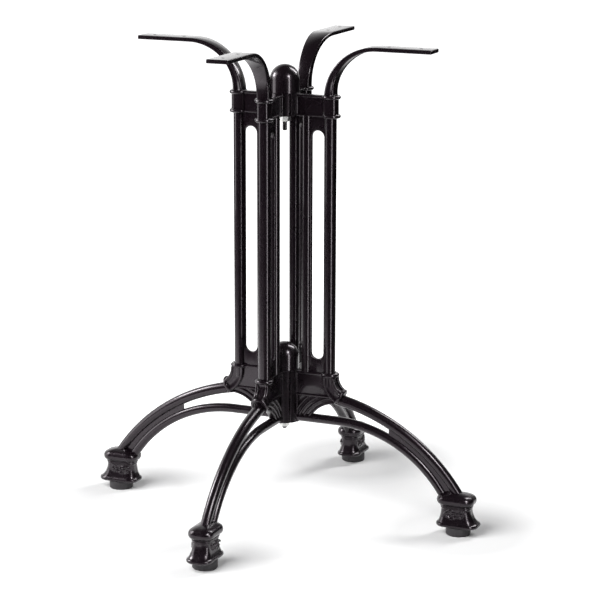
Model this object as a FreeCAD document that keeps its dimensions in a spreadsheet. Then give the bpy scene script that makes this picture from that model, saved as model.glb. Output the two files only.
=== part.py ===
"""Four star table base: four one-piece quarter castings drawn together at two hubs.

Frame: +Z is up, the origin lies on the floor under the centre, and the right leg points along +X.
All sizes are in millimetres. The casting is drawn once, pointing along +X, and set round the centre.
"""
import FreeCAD, Part
import math
import os
import Sketcher

SIZES = (
    ("overall_height", 720.0, "floor to the top face of the arms"),
    ("foot_reach", 282.4, "centre of the base to the centre of a glide"),
    ("arm_reach", 233.8, "centre of the base to the end of an arm"),
    ("glide_diameter", 37.0, "round black pad"),
    ("glide_height", 13.2, "pad, floor to the underside of the foot"),
    ("glide_round", 1.4, "bevel of the pad's lower edge"),
    ("glide_floor", 3.0, "thickness of pad under the stud's head"),
    ("stud_diameter", 9.6, "shank of the glide's stud"),
    ("stud_head_diameter", 17.0, "flat head inside the pad"),
    ("stud_head_height", 3.0, "flat head inside the pad"),
    ("stud_length", 33.0, "stud, head included"),
    ("fit_gap", 0.15, "clearance round studs, rods and spigots"),
    ("rim_half_length", 32.5, "foot rim, along the leg"),
    ("rim_half_width", 19.6, "foot rim, across the leg"),
    ("rim_height", 6.2, "foot rim"),
    ("rim_round", 1.6, "bevel of the foot rim"),
    ("neck_half_length", 22.6, "narrowest part of the foot, along the leg"),
    ("neck_half_width", 13.2, "narrowest part of the foot, across the leg"),
    ("neck_lean", 2.6, "the neck stands this much nearer the centre than the rim"),
    ("neck_ring_level", 45.6, "small moulding round the neck"),
    ("neck_ring_stand", 1.3, "how far the moulding stands out"),
    ("cap_level", 47.4, "where the foot's pillow cap starts"),
    ("cap_height", 17.6, "pillow cap, without the leg"),
    ("cap_half_length", 28.4, "pillow cap, along the leg"),
    ("cap_half_width", 19.3, "pillow cap, across the leg"),
    ("cap_lean", 3.2, "the cap stands this much nearer the centre than the rim"),
    ("lobe_in", 23.6, "rounded lobe under the lower rib, inside the glide's centre"),
    ("lobe_radius", 8.4, "rounded lobe, its rolled outline"),
    ("lobe_half_width", 7.6, "rounded lobe, across the leg"),
    ("leg_end_level", 57.0, "where the two ribs of the leg end inside the cap"),
    ("upper_rib_radius", 7.9, "upper round rib of the leg"),
    ("upper_rib_bend", 298.1, "bend radius of the upper rib's middle line"),
    ("upper_rib_out", 1.7, "upper rib's end, outside the glide's centre"),
    ("lower_rib_radius", 7.0, "lower round rib of the leg"),
    ("lower_rib_bend", 205.0, "bend radius of the lower rib's middle line"),
    ("lower_rib_in", 24.0, "lower rib's end, inside the glide's centre"),
    ("lower_rib_level", 152.0, "height of the lower rib's straight stretch"),
    ("leg_web", 5.6, "thin wall between the leg's two ribs"),
    ("window_end", 171.0, "outer end of the open window between the ribs"),
    ("window_round", 3.4, "rounding of the window's outer end"),
    ("hub_radius", 23.0, "hub, outside"),
    ("hub_flare", 8.0, "fillet between hub and panels"),
    ("hub_half_web", 5.0, "half thickness of the panels at the hub"),
    ("seam_groove", 1.3, "V groove along the seams of the hub"),
    ("hub_under_rib", 7.5, "lower hub's underside, below the lower rib's middle line"),
    ("hub_over_shoulder", 2.0, "lower cap's seat, above the bead at the foot of the column"),
    ("hub_under_band", 2.0, "upper hub's underside, below the band's lower bead"),
    ("hub_over_band", 3.0, "upper cap's seat, above the band's upper bead"),
    ("rod_diameter", 7.2, "tie rod, at the middle of its thread"),
    ("column_radius", 73.5, "centre of the base to the middle of the outer tube"),
    ("outer_tube_radius", 8.5, "outer round tube of the column"),
    ("outer_tube_spread", 1.2, "the outer tube is this much wider to each side"),
    ("inner_tube_place", 36.0, "centre of the base to the middle of the inner tube"),
    ("inner_tube_radius", 7.5, "inner round tube of the column"),
    ("column_web", 9.0, "wall between the tubes above and below the slot"),
    ("slot_width", 18.4, "slot between the column's tubes"),
    ("slot_foot", 22.5, "lower end of the slot, above the bead at the foot of the column"),
    ("slot_head", 22.5, "upper end of the slot, below the band's lower bead"),
    ("band_height", 28.0, "from the band's lower bead to its upper bead"),
    ("band_half_length", 11.0, "outer end of the band, along the arm"),
    ("band_half_width", 9.8, "outer end of the band, across the arm"),
    ("shoulder_ring", 223.0, "bead round the foot of the column"),
    ("ring_reach", 14.0, "bead, from its middle to its crest"),
    ("ring_bead", 2.2, "radius of a bead"),
    ("ring_out", 0.9, "a bead's middle lies this far outside the tube's"),
    ("ledge_bead", 1.7, "radius of the ledges along the panels"),
    ("shoulder_height", 34.0, "from the ledge over the fan to the bead at the foot of the column"),
    ("elbow_out", 33.5, "column's tube to the centre of the shoulder's sweep"),
    ("elbow_drop", 5.0, "shoulder bead to the centre of the shoulder's sweep"),
    ("elbow_bend", 32.0, "radius of the shoulder's sweep"),
    ("elbow_turn", 59.0, "angle of the shoulder's sweep, degrees"),
    ("elbow_half_depth", 10.4, "section of the sweep, in the leg's plane"),
    ("elbow_half_width", 11.0, "section of the sweep, across the leg"),
    ("collar_step", 2.0, "end of the sweep to the tilted bead"),
    ("arch_place", 88.0, "centre of the base to the middle of the arch"),
    ("arch_drop", 25.3, "middle of the arch below the lower rib"),
    ("arch_radius", 52.0, "arch of the open window"),
    ("fan_web", 6.4, "wall behind the fan's ribs"),
    ("fan_pitch", 7.2, "from one rib of the fan to the next"),
    ("fan_rib_half", 2.1, "half width of a rib of the fan"),
    ("fan_rib_stand", 2.5, "how far a rib stands out from the wall"),
    ("fan_start", 26.0, "angle at which the ribs leave the lower rib, degrees"),
    ("spigot_radius", 19.0, "quarter spigots inside the cap's skirt"),
    ("spigot_height", 10.0, "quarter spigots inside the cap's skirt"),
    ("dome_radius", 22.0, "domed cap"),
    ("dome_skirt", 20.0, "straight side of the domed cap"),
    ("cap_recess", 18.0, "depth of the hollow in the cap's skirt"),
    ("rod_end_wall", 3.6, "metal between the rod's bore and the top of the dome"),
    ("washer_diameter", 17.0, "washer"),
    ("washer_height", 2.0, "washer"),
    ("nut_across", 13.0, "nut, across its flats"),
    ("nut_height", 8.0, "nut"),
    ("upper_rod_tail", 13.5, "upper rod below its nut"),
    ("lower_rod_tail", 3.5, "lower rod below its nut"),
    ("arm_width", 33.0, "flat of the arm"),
    ("arm_thickness", 6.0, "flat of the arm"),
    ("arm_root_depth", 16.0, "arm where it leaves the band, along the leg"),
    ("arm_root_width", 20.0, "arm where it leaves the band, across the leg"),
    ("arm_rise", 75.0, "from where the arm starts to bend up to its top face"),
    ("arm_over_band", 2.5, "where the arm starts to bend, above the band's upper bead"),
    ("arm_flat_start", 150.0, "where the arm's flat starts"),
    ("arm_flute", 1.7, "depth of the flutes in the arm's sides, at its root"),
    ("outer_screw_place", 213.0, "centre of the base to the outer screw hole"),
    ("inner_screw_place", 164.0, "centre of the base to the inner screw hole"),
    ("screw_hole", 5.6, "screw hole"),
)

ARM_STATIONS = (0.0, 15.0, 30.0, 46.0, 61.0, 76.0, 90.0)
BELL_STATIONS = ((0.0, 1.9), (0.30, 0.62), (0.62, 0.17), (1.0, 0.0))
FAN_ENDS = (98.0, 90.0)
CAP_STATIONS = ((0.06, 0.20), (0.18, 0.72), (0.42, 1.0), (0.63, 0.80), (0.85, 0.0), (1.0, -1.35))
DOME_STATIONS = (0.0, 20.0, 40.0, 58.0, 74.0)
ROUND_SIDES = 20
BEAD_SIDES = 12
RIB_SIDES = 8

doc = FreeCAD.newDocument("four_star_table_base")
sheet = doc.addObject("Spreadsheet::Sheet", "sizes")


class Size:
    """A number that carries the spreadsheet expression it comes from."""

    def __init__(self, value, text):
        self.value = float(value)
        self.text = text

    def join(self, sign, other, result):
        return Size(result, "(%s %s %s)" % (self.text, sign, other.text))

    def __add__(self, other):
        other = size_of(other)
        return self.join("+", other, self.value + other.value)

    def __sub__(self, other):
        other = size_of(other)
        return self.join("-", other, self.value - other.value)

    def __mul__(self, other):
        other = size_of(other)
        return self.join("*", other, self.value * other.value)

    def __truediv__(self, other):
        other = size_of(other)
        return self.join("/", other, self.value / other.value)

    def __radd__(self, other):
        return size_of(other) + self

    def __rsub__(self, other):
        return size_of(other) - self

    def __rmul__(self, other):
        return size_of(other) * self

    def __neg__(self):
        return size_of(0) - self


def size_of(number):
    """A plain number as a Size; a Size stays as it is."""
    if isinstance(number, Size):
        return number
    return Size(number, "(%r)" % float(number))


def root(size):
    return Size(math.sqrt(size.value), "sqrt(%s)" % size.text)


def sine(angle):
    angle = size_of(angle)
    return Size(math.sin(math.radians(angle.value)), "sin(%s)" % angle.text)


def cosine(angle):
    angle = size_of(angle)
    return Size(math.cos(math.radians(angle.value)), "cos(%s)" % angle.text)


def leg_of_triangle(long_side, short_side):
    """The third side of a right triangle, from its longest side and one other."""
    return root(long_side * long_side - short_side * short_side)


def fill_sheet():
    """Writes the driving sizes into the spreadsheet and returns them by name."""
    sizes = {}
    for row, (name, value, note) in enumerate(SIZES, start=1):
        sheet.set("A%d" % row, name)
        sheet.set("B%d" % row, str(value))
        sheet.set("C%d" % row, note)
        sheet.setAlias("B%d" % row, name)
        sizes[name] = Size(value, "sizes.%s" % name)
    doc.recompute()
    add_levels(sizes)
    return sizes


def add_levels(sizes):
    """Levels that follow from the driving sizes, from the floor up and from the arms down."""
    sizes["panel_bottom"] = sizes["shoulder_ring"] - sizes["shoulder_height"]
    sizes["lower_hub_bottom"] = sizes["lower_rib_level"] - sizes["hub_under_rib"]
    sizes["lower_hub_top"] = sizes["shoulder_ring"] + sizes["hub_over_shoulder"]
    sizes["slot_bottom"] = sizes["shoulder_ring"] + sizes["slot_foot"]
    sizes["arm_root_level"] = sizes["overall_height"] - sizes["arm_rise"]
    sizes["band_top_ring"] = sizes["arm_root_level"] - sizes["arm_over_band"]
    sizes["band_bottom_ring"] = sizes["band_top_ring"] - sizes["band_height"]
    sizes["upper_hub_bottom"] = sizes["band_bottom_ring"] - sizes["hub_under_band"]
    sizes["upper_hub_top"] = sizes["band_top_ring"] + sizes["hub_over_band"]
    sizes["slot_top"] = sizes["band_bottom_ring"] - sizes["slot_head"]


V = fill_sheet()
ZERO = Size(0.0, "0")


def bind(target, path, size):
    """Ties one property of an object to its spreadsheet expression."""
    target.setExpression(path, size_of(size).text)


def new_body(label):
    body = doc.addObject("PartDesign::Body", label)
    body.Label = label
    return body


def plane_of(body, role):
    for feature in body.Origin.OriginFeatures:
        if feature.Role == role:
            return feature
    raise RuntimeError("no plane " + role)


def new_sketch(body, name, role, offset=(0, 0, 0), turn=None):
    """An empty sketch on one of the body's own planes, moved and turned about the plane's second axis."""
    sketch = body.newObject("Sketcher::SketchObject", name)
    sketch.AttachmentSupport = [(plane_of(body, role), "")]
    sketch.MapMode = "FlatFace"
    place = [size_of(value) for value in offset]
    angle = size_of(turn if turn is not None else 0.0)
    sketch.AttachmentOffset = FreeCAD.Placement(
        FreeCAD.Vector(*[value.value for value in place]),
        FreeCAD.Rotation(FreeCAD.Vector(0, 1, 0), angle.value))
    for axis, value in zip("xyz", place):
        if value.value:
            bind(sketch, "AttachmentOffset.Base." + axis, value)
    if turn is not None and angle.value:
        bind(sketch, "AttachmentOffset.Rotation.Angle", angle)
    return sketch


def pin_point(sketch, geometry, point, x, y):
    """Fixes one point of a sketch by its distances from the sketch's origin."""
    for kind, size in (("DistanceX", size_of(x)), ("DistanceY", size_of(y))):
        index = sketch.addConstraint(Sketcher.Constraint(kind, -1, 1, geometry, point, size.value))
        if size.text != ZERO.text:
            bind(sketch, "Constraints[%d]" % index, size)


def pin_radius(sketch, geometry, radius):
    radius = size_of(radius)
    index = sketch.addConstraint(Sketcher.Constraint("Radius", geometry, radius.value))
    bind(sketch, "Constraints[%d]" % index, radius)


def pin_half_circle(sketch, geometry, start, end):
    """Keeps the centre of a half circle halfway between its ends."""
    across = abs(size_of(end[0]).value - size_of(start[0]).value)
    along = abs(size_of(end[1]).value - size_of(start[1]).value)
    axis = 0 if along > across else 1
    middle = (size_of(start[axis]) + end[axis]) * 0.5
    kind = ("DistanceX", "DistanceY")[axis]
    index = sketch.addConstraint(Sketcher.Constraint(kind, -1, 1, geometry, 3, middle.value))
    bind(sketch, "Constraints[%d]" % index, middle)


def add_circle(sketch, x, y, radius):
    x, y, radius = size_of(x), size_of(y), size_of(radius)
    circle = Part.Circle(FreeCAD.Vector(x.value, y.value, 0), FreeCAD.Vector(0, 0, 1), radius.value)
    geometry = sketch.addGeometry(circle, False)
    pin_point(sketch, geometry, 3, x, y)
    pin_radius(sketch, geometry, radius)


def arc_between(start, end, radius, side, long_way):
    """A circular arc from start to end; side is +1 when its centre lies to the left of the chord."""
    middle = (start + end) * 0.5
    chord = end - start
    left = FreeCAD.Vector(-chord.y, chord.x, 0).normalize()
    rise = math.sqrt(max(radius * radius - chord.Length ** 2 / 4.0, 0.0))
    centre = middle + left * (rise * side * (-1 if long_way else 1))
    crown = centre - left * (side * radius)
    return Part.Arc(start, crown, end)


def add_outline(sketch, corners, closed=True):
    """Draws lines and arcs through the corners.

    A corner is (x, y) or (x, y, radius, side) where the stretch that leaves it is an arc, whose centre
    lies to the left (+1) or to the right (-1) of the way from this corner to the next. A fifth value of
    True takes the long way round.
    """
    points = [FreeCAD.Vector(size_of(c[0]).value, size_of(c[1]).value, 0) for c in corners]
    count = len(corners) if closed else len(corners) - 1
    edges = []
    for index in range(count):
        corner = corners[index]
        start = points[index]
        end = points[(index + 1) % len(points)]
        if len(corner) == 2:
            edges.append((sketch.addGeometry(Part.LineSegment(start, end), False), 1, 2))
            continue
        radius = size_of(corner[2])
        arc = arc_between(start, end, radius.value, corner[3], len(corner) == 5)
        geometry = sketch.addGeometry(arc, False)
        begins = (sketch.getPoint(geometry, 1) - start).Length < 1e-6
        edges.append((geometry, 1, 2) if begins else (geometry, 2, 1))
        if abs((end - start).Length - radius.value * 2.0) < 1e-6:
            pin_half_circle(sketch, geometry, corner, corners[(index + 1) % len(corners)])
        else:
            pin_radius(sketch, geometry, radius)
    for index, (geometry, first, last) in enumerate(edges):
        pin_point(sketch, geometry, first, corners[index][0], corners[index][1])
        if index + 1 < len(edges):
            following = edges[index + 1]
            sketch.addConstraint(Sketcher.Constraint("Coincident", geometry, last, following[0], following[1]))
        elif closed:
            sketch.addConstraint(Sketcher.Constraint("Coincident", geometry, last, edges[0][0], edges[0][1]))
        else:
            pin_point(sketch, geometry, last, corners[-1][0], corners[-1][1])


def add_cut_box(sketch, x, y, half_x, half_y, corner, facets=2):
    """A rectangle about (x, y) whose corners are rounded by a few flats."""
    corners = []
    for quarter, (side_x, side_y) in enumerate(((1, 1), (-1, 1), (-1, -1), (1, -1))):
        middle_x = x + side_x * (half_x - corner)
        middle_y = y + side_y * (half_y - corner)
        for step in range(facets + 1):
            angle = 90.0 * (quarter + step / facets)
            corners.append((middle_x + corner * cosine(angle), middle_y + corner * sine(angle)))
    add_outline(sketch, corners)


def add_polygon(sketch, x, y, radius, sides):
    """A regular polygon about (x, y), one flat towards each main direction."""
    corners = []
    for index in range(sides):
        angle = 360.0 / sides * (index + 0.5)
        corners.append((x + radius * cosine(angle), y + radius * sine(angle)))
    add_outline(sketch, corners)


def add_stadium(sketch, x, y, half_length, radius):
    """Two half circles joined by straight sides along the sketch's second axis."""
    x, y = size_of(x), size_of(y)
    add_outline(sketch, (
        (x + radius, y - half_length),
        (x + radius, y + half_length, radius, 1),
        (x - radius, y + half_length),
        (x - radius, y - half_length, radius, 1),
    ))


def pad(body, sketch, name, length, both_ways=False, reverse=False):
    feature = body.newObject("PartDesign::Pad", name)
    feature.Profile = sketch
    feature.Length = size_of(length).value
    bind(feature, "Length", length)
    if both_ways:
        feature.SideType = "Symmetric"
    feature.Reversed = reverse
    return feature


def pocket(body, sketch, name, length, both_ways=False, reverse=False):
    feature = body.newObject("PartDesign::Pocket", name)
    feature.Profile = sketch
    feature.Length = size_of(length).value
    bind(feature, "Length", length)
    if both_ways:
        feature.SideType = "Symmetric"
    feature.Reversed = reverse
    return feature


def revolve(body, sketch, name, angle=360.0, reverse=False):
    """Turns a sketch about its own second axis."""
    feature = body.newObject("PartDesign::Revolution", name)
    feature.Profile = sketch
    feature.ReferenceAxis = (sketch, ["V_Axis"])
    feature.Angle = size_of(angle).value
    bind(feature, "Angle", angle)
    feature.Reversed = reverse
    return feature


def loft(body, sketches, name):
    """A form with straight stretches from each section to the next."""
    feature = body.newObject("PartDesign::AdditiveLoft", name)
    feature.Profile = sketches[0]
    feature.Sections = sketches[1:]
    feature.Ruled = True
    return feature


def pipe(body, profile, path, name):
    feature = body.newObject("PartDesign::AdditivePipe", name)
    feature.Profile = profile
    feature.Spine = path
    return feature


def foot_section(body, name, level, place, half_x, half_y):
    """One level of the foot: a rectangle whose round corners take up most of its width."""
    sketch = new_sketch(body, name, "XY_Plane", (place, 0, level))
    add_cut_box(sketch, ZERO, ZERO, half_x, half_y, half_y * 0.76)
    return sketch


def add_foot(body):
    """Rim, bell, neck moulding and pillow cap of the foot."""
    place = V["foot_reach"]
    bevel = V["rim_round"]
    rim_top = V["glide_height"] + V["rim_height"]
    sections = []
    for index, (level, inset) in enumerate((
            (V["glide_height"], bevel), (V["glide_height"] + bevel * 0.9, ZERO),
            (rim_top - bevel * 0.9, ZERO), (rim_top, bevel))):
        sections.append(foot_section(body, "rim_section_%d" % index, level, place,
                                     V["rim_half_length"] - inset, V["rim_half_width"] - inset))

    bell_height = V["neck_ring_level"] - rim_top
    for index, (share, spread) in enumerate(BELL_STATIONS):
        flare_x = (V["rim_half_length"] - V["neck_half_length"]) * (spread * 0.44)
        flare_y = (V["rim_half_width"] - V["neck_half_width"]) * (spread * 0.44)
        lean = V["neck_lean"] * (1.0 - spread * 0.52)
        sections.append(foot_section(
            body, "bell_section_%d" % index, rim_top + bell_height * share, place - lean,
            V["neck_half_length"] + flare_x, V["neck_half_width"] + flare_y))

    stand = V["neck_ring_stand"]
    for index, level in enumerate((V["neck_ring_level"] + stand * 0.5, V["cap_level"])):
        sections.append(foot_section(body, "moulding_section_%d" % index, level, place - V["neck_lean"],
                                     V["neck_half_length"] + stand, V["neck_half_width"] + stand))

    for index, (share, spread) in enumerate(CAP_STATIONS):
        grow_x = (V["cap_half_length"] - V["neck_half_length"]) * spread
        grow_y = (V["cap_half_width"] - V["neck_half_width"]) * spread
        if spread < 0:
            grow_x = (V["cap_half_length"] - V["neck_half_length"]) * spread * 1.8
        sections.append(foot_section(
            body, "cap_section_%d" % index, V["cap_level"] + V["cap_height"] * share,
            place - V["cap_lean"], V["neck_half_length"] + grow_x, V["neck_half_width"] + grow_y))
    loft(body, sections, "foot_form")

    sketch = new_sketch(body, "lobe_outline", "XZ_Plane")
    add_polygon(sketch, place - V["lobe_in"], V["leg_end_level"], V["lobe_radius"], RIB_SIDES)
    pad(body, sketch, "foot_lobe", V["lobe_half_width"] * 2.0, both_ways=True)


def upper_rib_ends():
    """Middle line of the upper rib: where it starts, where it ends and the centre of its bend."""
    start_x = elbow_point(V["elbow_bend"], V["elbow_turn"])[0] - 3.0
    end_x = V["foot_reach"] + V["upper_rib_out"]
    end_z = V["leg_end_level"]
    start_z = V["panel_bottom"] - 3.2
    middle_x = (start_x + end_x) * 0.5
    middle_z = (start_z + end_z) * 0.5
    run = end_x - start_x
    fall = start_z - end_z
    chord = root(run * run + fall * fall)
    rise = leg_of_triangle(V["upper_rib_bend"], chord * 0.5)
    centre_x = middle_x - fall / chord * rise
    centre_z = middle_z - run / chord * rise
    return (start_x, start_z), (end_x, end_z), (centre_x, centre_z)


def lower_rib_points():
    """Middle line of the lower rib: the start of its bend and its end in the foot."""
    fall = V["lower_rib_level"] - V["leg_end_level"]
    end_x = V["foot_reach"] - V["lower_rib_in"]
    bend_x = end_x - leg_of_triangle(V["lower_rib_bend"], V["lower_rib_bend"] - fall)
    return bend_x, end_x


def height_on_bend(centre_z, centre_x, bend, place):
    """Height of a rib's middle line at a distance from the centre of the base."""
    return centre_z + leg_of_triangle(bend, place - centre_x)


def elbow_point(distance, angle):
    """A point of the shoulder's sweep, in the leg's plane."""
    middle_x = V["column_radius"] + V["elbow_out"]
    middle_z = V["shoulder_ring"] - V["elbow_drop"]
    return middle_x - distance * cosine(angle), middle_z - distance * sine(angle)


def add_leg(body):
    """The two ribs of the leg, eight-sided in section, and the thin wall between them."""
    start, end, centre = upper_rib_ends()
    path = new_sketch(body, "upper_rib_path", "XZ_Plane")
    add_outline(path, ((end[0], end[1], V["upper_rib_bend"], 1), (start[0], start[1])), closed=False)
    profile = new_sketch(body, "upper_rib_section", "XY_Plane", (end[0], 0, end[1]),
                         -upper_end_angle(end, centre))
    add_polygon(profile, ZERO, ZERO, V["upper_rib_radius"] * 1.04, RIB_SIDES)
    pipe(body, profile, path, "upper_rib")

    bend_x, end_x = lower_rib_points()
    path = new_sketch(body, "lower_rib_path", "XZ_Plane")
    add_outline(path, (
        (size_of(15.0), V["lower_rib_level"]),
        (bend_x, V["lower_rib_level"], V["lower_rib_bend"], -1),
        (end_x, V["leg_end_level"]),
    ), closed=False)
    profile = new_sketch(body, "lower_rib_section", "YZ_Plane", (0, V["lower_rib_level"], size_of(15.0)))
    add_polygon(profile, ZERO, ZERO, V["lower_rib_radius"] * 1.04, RIB_SIDES)
    pipe(body, profile, path, "lower_rib")

    window_end = V["window_end"]
    lower_centre_z = V["lower_rib_level"] - V["lower_rib_bend"]
    upper_z = height_on_bend(centre[1], centre[0], V["upper_rib_bend"], window_end)
    lower_z = height_on_bend(lower_centre_z, bend_x, V["lower_rib_bend"], window_end)
    middle_z = (upper_z - V["upper_rib_radius"] + lower_z + V["lower_rib_radius"]) * 0.5
    sketch = new_sketch(body, "leg_web_outline", "XZ_Plane")
    add_outline(sketch, (
        (window_end, upper_z, V["upper_rib_bend"], -1),
        (end[0], end[1]),
        (end_x, V["leg_end_level"], V["lower_rib_bend"], 1),
        (window_end, lower_z),
        (window_end, middle_z - V["window_round"], V["window_round"], 1),
        (window_end, middle_z + V["window_round"]),
    ))
    pad(body, sketch, "leg_wall", V["leg_web"], both_ways=True)


def upper_end_angle(end, centre):
    """Slope of the upper rib where it enters the foot, in degrees from straight up."""
    angle = math.degrees(math.atan2(end[1].value - centre[1].value, end[0].value - centre[0].value))
    text = "(atan2(%s; %s) / 1 deg)" % ((end[1] - centre[1]).text, (end[0] - centre[0]).text)
    return Size(angle, text)


def add_shoulder(body):
    """The flared sweep from the column to the leg and the tilted bead round its end."""
    middle = elbow_point(ZERO, ZERO)
    sketch = new_sketch(body, "sweep_section", "XY_Plane", (middle[0], 0, middle[1]))
    add_cut_box(sketch, -V["elbow_bend"], ZERO, V["elbow_half_depth"], V["elbow_half_width"],
                V["elbow_half_depth"] * 0.56, 1)
    revolve(body, sketch, "shoulder_sweep", V["elbow_turn"], reverse=True)

    turn = V["elbow_turn"]
    end_x, end_z = elbow_point(V["elbow_bend"], turn)
    place_x = end_x + V["collar_step"] * sine(turn)
    place_z = end_z - V["collar_step"] * cosine(turn)
    add_bead(body, "tilted_bead", place_x, place_z, 180.0 - turn)


def add_bead(body, name, x, z, turn=None):
    """A bead round a tube: widest at its middle, its axis turned from straight up in the leg's plane."""
    sections = []
    turned = size_of(turn if turn is not None else 0.0)
    for index, (share, inset) in enumerate(((-1.0, 0.75), (0.0, 0.0), (1.0, 0.75))):
        step = V["ring_bead"] * share
        place = (x + step * sine(turned), 0, z + step * cosine(turned))
        sketch = new_sketch(body, "%s_section_%d" % (name, index), "XY_Plane", place, turn)
        add_polygon(sketch, ZERO, ZERO, V["ring_reach"] - V["ring_bead"] * inset, BEAD_SIDES)
        sections.append(sketch)
    loft(body, sections, name)


def add_column(body):
    """The column: two round tubes and the wall between them, with a long slot."""
    sketch = new_sketch(body, "outer_tube_outline", "XY_Plane", (0, 0, V["panel_bottom"] + 8.0))
    add_stadium(sketch, V["column_radius"], 0, V["outer_tube_spread"], V["outer_tube_radius"])
    length = V["arm_root_level"] - V["panel_bottom"] - 8.0
    pad(body, sketch, "outer_tube", length)

    sketch = new_sketch(body, "column_wall_outline", "XZ_Plane")
    add_outline(sketch, (
        (V["inner_tube_place"], V["panel_bottom"] + 8.0),
        (V["column_radius"], V["panel_bottom"] + 8.0),
        (V["column_radius"], V["arm_root_level"] - 6.0),
        (V["inner_tube_place"], V["arm_root_level"] - 6.0),
    ))
    pad(body, sketch, "column_wall", V["column_web"], both_ways=True)

    sketch = new_sketch(body, "slot_outline", "XZ_Plane")
    half = V["slot_width"] * 0.5
    inner_edge = V["inner_tube_place"] + V["inner_tube_radius"]
    outer_edge = V["column_radius"] - V["outer_tube_radius"]
    middle = (inner_edge + outer_edge) * 0.5
    add_outline(sketch, (
        (middle - half, V["slot_bottom"] + half, half, 1),
        (middle + half, V["slot_bottom"] + half),
        (middle + half, V["slot_top"] - half, half, 1),
        (middle - half, V["slot_top"] - half),
    ))
    pocket(body, sketch, "column_slot", V["column_web"] + 4.0, both_ways=True)

    sketch = new_sketch(body, "inner_tube_outline", "XY_Plane", (0, 0, V["shoulder_ring"]))
    add_circle(sketch, V["inner_tube_place"], 0, V["inner_tube_radius"])
    pad(body, sketch, "inner_tube", V["band_bottom_ring"] - V["shoulder_ring"])


def add_hub(body, name, bottom, top):
    """A quarter of a hub with the fillets that lead into its panels, its bore and its seam grooves."""
    radius = V["hub_radius"]
    flare = V["hub_flare"]
    web = V["hub_half_web"]
    bore = V["rod_diameter"] * 0.5 + V["fit_gap"]
    diagonal = math.sqrt(0.5)
    centre_y = web + flare
    centre_x = leg_of_triangle(radius + flare, centre_y)
    share = radius / (radius + flare)
    groove = (radius - V["seam_groove"]) * diagonal
    lip_x = radius * cosine(41.6)
    lip_y = radius * sine(41.6)
    end_x = centre_x + 2.0
    sketch = new_sketch(body, name + "_outline", "XY_Plane", (0, 0, bottom))
    add_outline(sketch, (
        (bore * diagonal, -bore * diagonal),
        (groove, -groove),
        (lip_x, -lip_y, radius, 1),
        (centre_x * share, -centre_y * share, flare, -1),
        (centre_x, -web),
        (end_x, -web),
        (end_x, web),
        (centre_x, web, flare, -1),
        (centre_x * share, centre_y * share, radius, 1),
        (lip_x, lip_y),
        (groove, groove),
        (bore * diagonal, bore * diagonal, bore, -1),
    ))
    pad(body, sketch, name, top - bottom)

    spigot = V["spigot_radius"]
    sketch = new_sketch(body, name + "_spigot_outline", "XY_Plane", (0, 0, top - 1.0))
    add_outline(sketch, (
        (bore * diagonal, -bore * diagonal),
        (spigot * diagonal, -spigot * diagonal, spigot, 1),
        (spigot * diagonal, spigot * diagonal),
        (bore * diagonal, bore * diagonal, bore, -1),
    ))
    pad(body, sketch, name + "_spigot", V["spigot_height"] + 1.0)


def add_panel(body, name, bottom, top, outer):
    """A flat panel from the hub to the outer tube."""
    sketch = new_sketch(body, name + "_outline", "XZ_Plane")
    inner = V["hub_radius"] - 3.0
    add_outline(sketch, ((inner, bottom), (outer, bottom), (outer, top), (inner, top)))
    pad(body, sketch, name, V["hub_half_web"] * 2.0, both_ways=True)


def add_ledge(body, name, level, outer):
    """A bevelled ledge that runs along both faces of a panel at one height."""
    sketch = new_sketch(body, name + "_section", "YZ_Plane", (0, 0, V["hub_radius"] - 2.0))
    bead = V["ledge_bead"]
    half = V["hub_half_web"]
    crest = half + bead
    add_outline(sketch, (
        (-half, level - bead),
        (half, level - bead),
        (crest, level - bead * 0.45),
        (crest, level + bead * 0.45),
        (half, level + bead),
        (-half, level + bead),
        (-crest, level + bead * 0.45),
        (-crest, level - bead * 0.45),
    ))
    pad(body, sketch, name, outer - V["hub_radius"] + 2.0)


def add_beads(body):
    """The three level beads round the outer tube."""
    place = V["column_radius"] + V["ring_out"]
    add_bead(body, "shoulder_bead", place, V["shoulder_ring"])
    add_bead(body, "band_lower_bead", place, V["band_bottom_ring"])
    add_bead(body, "band_upper_bead", place, V["band_top_ring"])


def add_band(body):
    """The band between the two upper beads: panel, outer end and hub quarter."""
    sketch = new_sketch(body, "band_end_outline", "XY_Plane", (0, 0, V["band_bottom_ring"]))
    add_cut_box(sketch, V["column_radius"], ZERO, V["band_half_length"], V["band_half_width"],
                V["band_half_width"] * 0.6, 2)
    pad(body, sketch, "band_end", V["band_top_ring"] - V["band_bottom_ring"])
    add_panel(body, "band_panel", V["band_bottom_ring"] - 2.6, V["band_top_ring"] + 1.4, V["column_radius"])
    add_hub(body, "upper_hub", V["upper_hub_bottom"], V["upper_hub_top"])
    add_ledge(body, "band_lower_ledge", V["band_bottom_ring"] - 1.0, V["column_radius"])
    add_ledge(body, "band_upper_ledge", V["band_top_ring"], V["column_radius"])


def fan_end_angle(radius):
    """Angle at which a rib of the fan meets the panel's lower ledge."""
    rise = V["panel_bottom"] - V["lower_rib_level"] + V["arch_drop"]
    share = rise / radius
    return Size(math.degrees(math.asin(share.value)), "(asin(%s) / 1 deg)" % share.text)


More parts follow.
